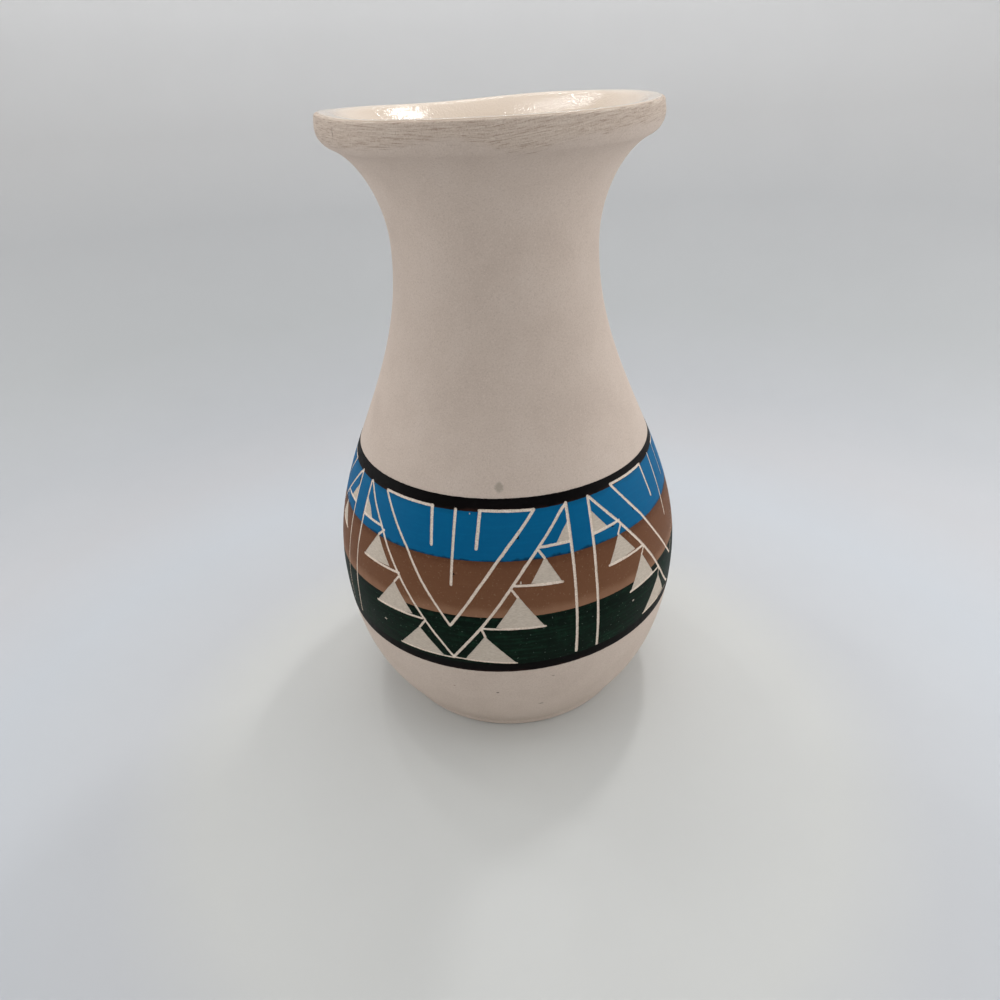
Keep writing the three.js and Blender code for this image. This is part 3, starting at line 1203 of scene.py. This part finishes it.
@dataclass(frozen=True)
class SlipFinish:
    """Coloured clay slip, brushed on and burnished: satin, with faint marks of the brush round the vase."""

    name: str
    # Colours from the band's lower border to its upper one, at shares of its width.
    stops: tuple[tuple[float, str], ...]
    band_mm: float
    mark: str
    brushing: Brushing = Brushing.EVEN
    roughness: float = 0.5
    fleck: str = "#8a8a80"
    fleck_share: float = 0.0
    # How common the flecks are: the lower, the more. Their edge takes the width after it.
    fleck_from: float = 0.72
    fleck_edge: float = 0.06
    # The belly's girth, and the length and thickness of a brush mark.
    girth_mm: float = 390.0
    brush_mm: Pair = (24.0, 0.9)
    # How far the colours' borders in the band wander, and the size of that wander's bends.
    wander_mm: float = 1.1
    bend_mm: float = 6.0
    cloud_mm: float = 2.2
    speck_mm: float = 0.7
    fine_mm: float = 0.5

    def material(self) -> bpy.types.Material:
        """Builds the material, or gives the one that another coat of this slip already has."""
        made = bpy.data.materials.get(self.name)
        if made:
            return made
        made, place = start_material(self.name, {"IOR": 1.5, "Specular IOR Level": 0.05})
        tree = made.node_tree
        surface = add_node(tree, "UVMap", uv_map="surface").outputs[0]
        across = add_node(tree, "SeparateXYZ", {0: surface})

        wander = add_node(
            tree,
            "TexNoise",
            {"Vector": place, "Scale": per_metre(self.bend_mm), "Detail": 4.0, "Roughness": 0.65},
        )
        stray = self.wander_mm / self.band_mm
        shift = add_node(
            tree,
            "MapRange",
            {"Value": wander.outputs[0], "From Min": 0.2, "From Max": 0.8, "To Min": -stray, "To Max": stray},
        )
        share = add_node(tree, "Math", {0: across.outputs[1], 1: shift.outputs[0]}, operation="ADD")
        base = add_node(tree, "ValToRGB", {0: share.outputs[0]}, list(self.stops))

        long, thin = self.brush_mm
        scale = (self.girth_mm / long, self.band_mm / thin, 1.0)
        stretched = add_node(tree, "Mapping", {"Vector": surface, "Scale": scale})
        brush = add_node(
            tree, "TexNoise", {"Vector": stretched.outputs[0], "Scale": 1.0, "Detail": 3.0, "Roughness": 0.6}
        )
        cloud = add_node(
            tree,
            "TexNoise",
            {"Vector": place, "Scale": per_metre(self.cloud_mm), "Detail": 4.0, "Roughness": 0.7},
        )
        both = add_node(tree, "Math", {0: brush.outputs[0], 1: cloud.outputs[0]}, operation="ADD")
        speck = add_node(
            tree,
            "TexNoise",
            {"Vector": place, "Scale": per_metre(self.speck_mm), "Detail": 1.0},
        )
        flecks = Tint(self.fleck_from, self.fleck_from + self.fleck_edge, self.fleck_share, self.fleck)
        marked = Tint(0.95, 1.35, self.brushing.value, self.mark).over(tree, both.outputs[0], base.outputs[0])
        colour = flecks.over(tree, speck.outputs[0], marked)

        rough = add_node(
            tree,
            "MapRange",
            {
                "Value": cloud.outputs[0],
                "From Min": 0.3,
                "From Max": 0.7,
                "To Min": self.roughness - 0.06,
                "To Max": self.roughness + 0.08,
            },
        )
        fine = add_node(tree, "TexNoise", {"Vector": place, "Scale": per_metre(self.fine_mm), "Detail": 2.0})
        fine_bump = add_node(
            tree,
            "Bump",
            {"Strength": 0.25, "Distance": 0.04 * MM, "Height": fine.outputs[0]},
        )
        below = fine_bump.outputs[0]
        relief = {"Strength": 0.35, "Distance": 0.06 * MM, "Height": brush.outputs[0], "Normal": below}
        bump = add_node(tree, "Bump", relief)
        patterns = {"Base Color": colour, "Roughness": rough.outputs[0], "Normal": bump.outputs[0]}
        return link_shader(made, patterns)


GROOVE_CLAY = BaredClayFinish("needle_scratched_raw_clay", "#cbb9a8", "#e6d6c6", "#f0e4d7", (0.5, 0.4))
SCRAPED_CLAY = BaredClayFinish("blade_scraped_raw_clay", "#b6aa9b", "#c3b6a7", "#cbc0b2", (1.2, 0.4))


@dataclass(frozen=True)
class ClayBody:
    """The clay wall: foot, belly, neck and rolled lip in one piece, with the scratched marks in its belly."""

    form: VaseForm
    wall: OuterWall
    finish: FiredClayFinish = FiredClayFinish()
    segments: int = 240
    # The turned parts are spun as one wedge that is then repeated, which is quicker.
    wedges: int = 16
    # The scratched stretch of the belly, which is laid as a sheet, and the rows of its grid.
    belly_from: float = 42.4
    belly_to: float = 103.4
    rows: int = 40
    least_step: float = 0.5
    groove_depth: float = 0.12
    # The lip's sanded, uneven stretch: the heights where it comes in and goes, its least radius, and how far
    # it strays with bumps of a given width and height.
    lip_starts: Pair = (194.0, 196.5)
    lip_ends: Pair = (201.2, 202.2)
    lip_least_radius: float = 44.0
    lip_unevenness: float = 0.07
    lip_bump_mm: Pair = (5.0, 1.6)

    def on_wall(self, x: float, height: float, above: float = 0.0) -> Vector:
        """The place of a sheet point on the true turned wall."""
        radius, outward = self.wall.at(height)
        here = point(radius, height) + outward * above
        return turned(here.x, here.y, x)

    def scratched_belly(self) -> bmesh.types.BMesh:
        """Marks and sinks the scratched lines in a flat sheet and lays it round the belly."""
        sheet = Sheet(self.segments, self.rows)
        sheet.shape(lambda _, share: self.belly_from * (1 - share) + self.belly_to * share)
        scratcher = Scratcher(self.wall)
        marks = every_mark()
        sheet.scratch(scratcher.outlines(m for m in marks if isinstance(m, Patch)), Bared.SCRAPED)
        sheet.scratch(scratcher.outlines(m for m in marks if isinstance(m, Stroke)), Bared.GROOVE)
        sheet.roughen_edges(outer=False)
        sheet.sink(Bared.GROOVE, self.groove_depth)
        return sheet.lay(self.on_wall)

    def turn(self, mesh: bmesh.types.BMesh, profile: list[Vector]) -> None:
        """Spins a profile from the sheet's seam on, so that its rings meet the sheet's."""
        part = bmesh.new()
        verts = [part.verts.new(turned(p.x, p.y, SEAM_X)) for p in profile]
        edges = [part.edges.new(pair) for pair in zip(verts, verts[1:])]
        spin = {"cent": (0, 0, 0), "axis": (0, 0, 1)}
        wedge = math.tau / self.wedges
        bmesh.ops.spin(part, geom=verts + edges, angle=wedge, steps=self.segments // self.wedges, **spin)
        whole = [*part.verts, *part.edges, *part.faces]
        turns = {"angle": math.tau - wedge, "steps": self.wedges - 1}
        bmesh.ops.spin(part, geom=whole, use_duplicate=True, **turns, **spin)
        join(mesh, part)

    def sand(self, mesh: bmesh.types.BMesh) -> None:
        """Makes the lip a little uneven and lets the whole form stray as the hand left it."""
        wide, high = self.lip_bump_mm
        for vert in mesh.verts:
            reach = math.hypot(vert.co.x, vert.co.y)
            lip = smooth_step(*self.lip_starts, vert.co.z) * (1 - smooth_step(*self.lip_ends, vert.co.z))
            if lip > 0 and reach > self.lip_least_radius:
                flat = Vector((vert.co.x / wide, vert.co.y / wide, vert.co.z / high))
                vert.co += vert.normal * (lip * self.lip_unevenness * noise.noise(flat))
            vert.co = self.form.settle(vert.co)

    def build(self) -> bpy.types.Object:
        """Joins the scratched belly to the turned foot, neck and inside, and sands the lip."""
        mesh = self.scratched_belly()
        outside = self.form.outside()
        low = [p for p in outside if p.y < self.belly_from - self.least_step]
        high = [p for p in outside if p.y > self.belly_to + self.least_step]
        low_end = point(self.wall.at(self.belly_from)[0], self.belly_from)
        high_end = point(self.wall.at(self.belly_to)[0], self.belly_to)
        self.turn(mesh, [*low, low_end])
        self.turn(mesh, [*self.form.inside(), *reversed(high), high_end])
        bmesh.ops.remove_doubles(mesh, verts=mesh.verts[:], dist=SAME_PLACE)
        bmesh.ops.recalc_face_normals(mesh, faces=mesh.faces[:])
        mesh.normal_update()
        self.sand(mesh)
        materials = [self.finish.material(self.wall), GROOVE_CLAY.material(), SCRAPED_CLAY.material()]
        return finish_piece(mesh, "turned_clay_body", materials, "clay_body", "fired_clay")


@dataclass(frozen=True)
class GlazeLining:
    """The glaze coat, from the floor inside up over the lip, where it ends in a ragged bead."""

    form: VaseForm
    finish: GlazeFinish = GlazeFinish()
    columns: int = 256
    rows: int = 112
    overhang: float = 0.1
    ragged: float = 0.3
    bead: float = 0.45
    sunk: float = 0.05
    # The sizes of the ragged edge's two waves, and the second's share of the first.
    wave_mm: Pair = (5.0, 1.7)
    second_wave: float = 0.6
    # How much closer the rows are near the lip.
    row_power: float = 1.7

    def build(self) -> bpy.types.Object:
        """Lays the coat over the clay's inner skin."""
        skin = self.form.skin()
        inside = ProfileLine(self.form.inside())
        end = inside.length + self.overhang
        sheet = Sheet(self.columns, self.rows)
        sheet.thicken(1.0)

        def surface(x: float, share: float, top: float) -> Vector:
            """The place of a sheet point: fine rows near the lip, wide ones down inside."""
            wide, narrow = self.wave_mm
            waves = noise.noise(on_cylinder(x, 0) / wide)
            waves += self.second_wave * noise.noise(on_cylinder(x, 9) / narrow)
            edge = end + self.ragged * waves
            length = edge * (1 - (1 - share) ** self.row_power)
            here, outward = skin.at(length)
            closing = min((edge - length) / self.bead, 1.0)
            thickness = self.form.glaze_thickness * math.sqrt(max(1 - (1 - closing) ** 2, 0.0))
            here = here + outward * (thickness if top > 0.5 else -self.sunk)
            return self.form.settle(turned(max(here.x, 0.0), here.y, x))

        sheet.map_surface(lambda x, y: y)
        mesh = sheet.lay(surface)
        materials = [self.finish.material()]
        return finish_piece(mesh, "glaze_lining_coat", materials, "glaze_lining", "clear_glaze")


@dataclass(frozen=True)
class SlipBand:
    """One coat of slip round the belly, between two swaying borders, scratched through to the clay."""

    form: VaseForm
    wall: OuterWall
    name: str
    node: str
    slot: str
    lower: Border
    upper: Border
    finish: SlipFinish
    scratched: bool
    thickness: float = 0.08
    sunk: float = 0.03
    cell: float = 1.25

    def build(self) -> bpy.types.Object:
        """Cuts the flat sheet, thickens it and lays it on the wall."""
        columns = round(SHEET_LENGTH / self.cell)
        rows = max(3, round((self.upper.height - self.lower.height) / self.cell))
        sheet = Sheet(columns, rows)
        sheet.shape(lambda x, share: self.lower.at(x) * (1 - share) + self.upper.at(x) * share)
        if self.scratched:
            lowest = min(v.co.y for v in sheet.mesh.verts)
            highest = max(v.co.y for v in sheet.mesh.verts)
            outlines = [
                corners
                for corners in Scratcher(self.wall).outlines(every_mark())
                if min(c.y for c in corners) < highest and max(c.y for c in corners) > lowest
            ]
            sheet.scratch(outlines)
        sheet.roughen_edges()
        sheet.thicken(self.thickness + self.sunk)
        sheet.map_surface(lambda x, y: (y - self.lower.at(x)) / (self.upper.at(x) - self.lower.at(x)))

        def surface(x: float, y: float, above: float) -> Vector:
            """The place of a sheet point on the wall."""
            radius, outward = self.wall.at(y)
            here = point(radius, y) + outward * (above - self.sunk)
            return self.form.settle(turned(here.x, here.y, x))

        mesh = sheet.lay(surface)
        return finish_piece(mesh, self.name, [self.finish.material()], self.node, self.slot)


LOWER_BOTTOM = Border(43.66, 1.36, -1.21)
LOWER_TOP = Border(47.5, 1.25, -1.49)
GREEN_TOP = Border(64.62, 1.41, 0.44, -0.57, 0.15)
BROWN_TOP = Border(83.09, 0.08, 0.50)
UPPER_BOTTOM = Border(98.4, 0.40, -0.36)
UPPER_TOP = Border(101.56, -0.37, 0.15)

BLACK_SLIP = SlipFinish(
    name="black_slip_burnished",
    stops=((0.0, "#2a1712"), (0.1, "#180e0b"), (0.22, "#070404"), (1.0, "#040303")),
    band_mm=3.4,
    mark="#15100e",
)
GREEN_SLIP = SlipFinish(
    name="green_slip_brushed",
    stops=((0.0, "#06150d"), (0.5, "#07170f"), (1.0, "#05120b")),
    band_mm=18,
    mark="#183a28",
    brushing=Brushing.BRUSHED,
    fleck="#7d8f80",
    fleck_share=0.4,
)
BROWN_SLIP = SlipFinish(
    name="brown_slip_sprayed",
    stops=((0.0, "#8b674f"), (0.09, "#85614a"), (0.21, "#714d37"), (0.85, "#6b4732"), (1.0, "#5b3926")),
    band_mm=18.5,
    mark="#7d5941",
    fleck="#a98a70",
    fleck_share=0.22,
    fleck_from=0.66,
)
BLUE_SLIP = SlipFinish(
    name="blue_slip_brushed",
    stops=((0.0, "#03304a"), (0.045, "#035a86"), (0.9, "#035d8a"), (1.0, "#03557e")),
    band_mm=16,
    mark="#0f7099",
)


class Ware:
    """The whole vase."""

    def __init__(self) -> None:
        """Settles the form that all the pieces share."""
        self.form = VaseForm()
        self.wall = OuterWall(self.form)

    def bands(self) -> list[SlipBand]:
        """The five coats of slip, from the lowest up."""
        rows = (
            ("lower_black_stripe", "black_slip", LOWER_BOTTOM, LOWER_TOP, BLACK_SLIP, False),
            ("green_slip_band", "green_slip", LOWER_TOP, GREEN_TOP, GREEN_SLIP, True),
            ("brown_slip_band", "brown_slip", GREEN_TOP, BROWN_TOP, BROWN_SLIP, True),
            ("blue_slip_band", "blue_slip", BROWN_TOP, UPPER_BOTTOM, BLUE_SLIP, True),
            ("upper_black_stripe", "black_slip", UPPER_BOTTOM, UPPER_TOP, BLACK_SLIP, True),
        )
        return [
            SlipBand(self.form, self.wall, node + "_coat", node, slot, low, high, finish, scratched)
            for node, slot, low, high, finish, scratched in rows
        ]

    def build(self) -> list[bpy.types.Object]:
        """Builds every piece, the clay first."""
        pieces = [ClayBody(self.form, self.wall).build(), GlazeLining(self.form).build()]
        return pieces + [band.build() for band in self.bands()]


@dataclass(frozen=True)
class SweepFinish:
    """Matte pale grey studio paper, with the room's uneven light and shade painted into its tone by distance
    from the vase.
    """

    # Painted light and shade of the room: tones at distances from a place a little before the vase, along the
    # floor and up the wall, in metres.
    painted_light_tones: tuple[tuple[float, str], ...] = (
        (0.0, "#cfd0cd"),
        (0.06, "#cbccca"),
        (0.11, "#c9cac8"),
        (0.14, "#c0c2c5"),
        (0.20, "#bbbfc4"),
        (0.26, "#b7b8bb"),
        (0.34, "#b0b2b5"),
        (0.46, "#abadae"),
        (0.60, "#acadae"),
        (0.69, "#b8b8b8"),
        (0.78, "#cdcdcd"),
    )
    reach: float = 0.8
    before: float = 0.05
    fibre_mm: float = 60.0
    # The paper's faint clouds, as shares of its tone.
    clouds: Pair = (0.985, 1.015)

    def material(self) -> bpy.types.Material:
        """Builds the material."""
        made, place = start_material("pale_grey_studio_paper_painted_light", {"Roughness": 0.75, "Specular IOR Level": 0.2})
        tree = made.node_tree
        axes = add_node(tree, "SeparateXYZ", {0: place})
        back = add_node(tree, "Math", {0: axes.outputs[1], 1: self.before}, operation="ADD")
        flat = add_node(tree, "CombineXYZ", {0: axes.outputs[0], 1: back.outputs[0]})
        out = add_node(tree, "VectorMath", {0: flat.outputs[0]}, operation="LENGTH")
        far = add_node(tree, "Math", {0: out.outputs["Value"], 1: axes.outputs[2]}, operation="ADD")
        share = add_node(tree, "Math", {0: far.outputs[0], 1: self.reach}, operation="DIVIDE")
        stops = [(distance / self.reach, tone) for distance, tone in self.painted_light_tones]
        # Painted light and shade by distance, not the paper's own colour.
        plain = add_node(tree, "ValToRGB", {0: share.outputs[0]}, stops)
        fibre = add_node(
            tree,
            "TexNoise",
            {"Vector": place, "Scale": per_metre(self.fibre_mm), "Detail": 5.0, "Roughness": 0.6},
        )
        dim, bright = self.clouds
        tone = add_node(
            tree,
            "MapRange",
            {"Value": fibre.outputs[0], "From Min": 0.2, "From Max": 0.8, "To Min": dim, "To Max": bright},
        )
        colour = add_node(tree, "VectorMath", {0: plain.outputs[0], 3: tone.outputs[0]}, operation="SCALE")
        return link_shader(made, {"Base Color": colour.outputs[0]})


@dataclass(frozen=True)
class Lamp:
    """A soft rectangular lamp that points at the vase, in metres."""

    name: str
    place: tuple[float, float, float]
    size: tuple[float, float]
    watts: float
    aim: tuple[float, float, float] = (0.0, 0.0, 0.1)
    # How far the lamp is turned about the way that it points, in degrees.
    turn: float = 0.0

    def build(self) -> bpy.types.Object:
        """Hangs the lamp."""
        data = bpy.data.lights.new(self.name, "AREA")
        data.shape = "RECTANGLE"
        data.size, data.size_y = self.size
        data.energy = self.watts
        lamp = bpy.data.objects.new(self.name, data)
        lamp.location = self.place
        way = (Vector(self.aim) - Vector(self.place)).to_track_quat("-Z", "Y")
        lamp.rotation_euler = (way @ Quaternion((0, 0, 1), math.radians(self.turn))).to_euler()
        lamp.visible_camera = False
        bpy.context.scene.collection.objects.link(lamp)
        return lamp


@dataclass(frozen=True)
class Studio:
    """A round pale sweep, soft lamps and an even pale sky."""

    floor_radius: float = 260.0
    bend: float = 230.0
    wall_height: float = 900.0
    segments: int = 96
    sky: str = "#ffffff"
    sky_strength: float = 0.40
    finish: SweepFinish = SweepFinish()
    lamps: tuple[Lamp, ...] = (
        Lamp("left_softbox", (-0.40, 0.0, 0.165), (0.46, 0.24), 0.60, (0.0, 0.0, 0.09)),
        Lamp("right_softbox", (0.40, 0.0, 0.165), (0.46, 0.24), 0.80, (0.0, 0.0, 0.09)),
        Lamp("front_softbox", (0.0, -0.38, 0.45), (0.36, 0.2), 0.17, (0.0, 0.0, 0.06)),
        Lamp("low_front_softbox", (0.0, -0.38, 0.12), (0.3, 0.09), 0.095, (0.0, 0.0, 0.04)),
        Lamp("right_panel", (0.19, 0.25, 0.6), (0.035, 0.09), 0.8, (0.19, 0.25, 0.0)),
        Lamp("left_panel", (-0.18, 0.27, 0.6), (0.03, 0.05), 0.25, (-0.18, 0.27, 0.0)),
        Lamp("left_strip", (-0.17, 0.105, 0.6), (0.012, 0.164), 0.2, (-0.17, 0.105, 0.0), 37.6),
        Lamp("back_strip", (0.0, 0.40, 0.6), (0.25, 0.014), 0.32, (0.0, 0.40, 0.0)),
        Lamp("overhead_softbox", (0.0, 0.05, 0.8), (0.6, 0.6), 1.4),
    )

    def sweep(self) -> bpy.types.Object:
        """Turns the floor that curves up into a wall all round."""
        corner = point(self.floor_radius, self.bend)
        line = [
            *(point(self.floor_radius * i / 12, 0) for i in range(12)),
            *arc(corner, self.bend, -90, 0, 24),
            point(self.floor_radius + self.bend, self.wall_height),
        ]
        mesh = bmesh.new()
        verts = [mesh.verts.new((p.x, 0, p.y)) for p in line]
        edges = [mesh.edges.new(pair) for pair in zip(verts, verts[1:])]
        spin = {"cent": (0, 0, 0), "axis": (0, 0, 1), "angle": math.tau, "steps": self.segments}
        bmesh.ops.spin(mesh, geom=verts + edges, use_merge=True, **spin)
        bmesh.ops.remove_doubles(mesh, verts=mesh.verts[:], dist=SAME_PLACE)
        bmesh.ops.scale(mesh, vec=(MM, MM, MM), verts=mesh.verts[:])
        for face in mesh.faces:
            face.smooth = True
            if face.normal.z < 0 or face.normal.dot(face.calc_center_median()) > 0 and face.normal.z < 0.01:
                face.normal_flip()
        data = bpy.data.meshes.new("studio_sweep")
        mesh.to_mesh(data)
        mesh.free()
        data.materials.append(self.finish.material())
        sweep = bpy.data.objects.new("studio_sweep", data)
        bpy.context.scene.collection.objects.link(sweep)
        return sweep

    def build(self) -> None:
        """Builds the sweep, the lamps and the sky."""
        self.sweep()
        for lamp in self.lamps:
            lamp.build()
        world = bpy.data.worlds.new("soft_sky")
        world.use_nodes = True
        background = world.node_tree.nodes["Background"]
        background.inputs["Color"].default_value = linear(self.sky)
        background.inputs["Strength"].default_value = self.sky_strength
        bpy.context.scene.world = world


@dataclass(frozen=True)
class Viewpoint:
    """The photograph's camera: in front of the vase, above it and tipped a little. Metres and degrees."""

    place: tuple[float, float, float] = (0.0, -0.241834, 0.217690)
    pitch_down: float = 31.29537
    yaw_right: float = -0.54168
    roll: float = -2.78525
    lens: float = 27.036
    sensor: float = 36.0

    def build(self) -> bpy.types.Object:
        """Sets up the camera."""
        data = bpy.data.cameras.new("studio_camera")
        data.lens = self.lens
        data.sensor_width = self.sensor
        data.clip_start = 0.01
        camera = bpy.data.objects.new("studio_camera", data)
        turn = (
            Matrix.Rotation(-math.radians(self.yaw_right), 4, "Z")
            @ Matrix.Rotation(math.radians(90 - self.pitch_down), 4, "X")
            @ Matrix.Rotation(math.radians(self.roll), 4, "Z")
        )
        camera.matrix_world = Matrix.Translation(self.place) @ turn
        bpy.context.scene.collection.objects.link(camera)
        bpy.context.scene.camera = camera
        return camera


def main() -> None:
    """Builds the studio and the vase, in order, and reports each piece."""
    logging.basicConfig(level=logging.INFO, format="%(relativeCreated)d ms %(name)s: %(message)s")
    bpy.context.scene.view_settings.view_transform = "Standard"
    noise.seed_set(NOISE_SEED)
    Viewpoint().build()
    Studio().build()
    for piece in Ware().build():
        LOG.info("%s has the finish %s", piece.name, piece.data.materials[0].name)


if __name__ == "__main__":
    main()
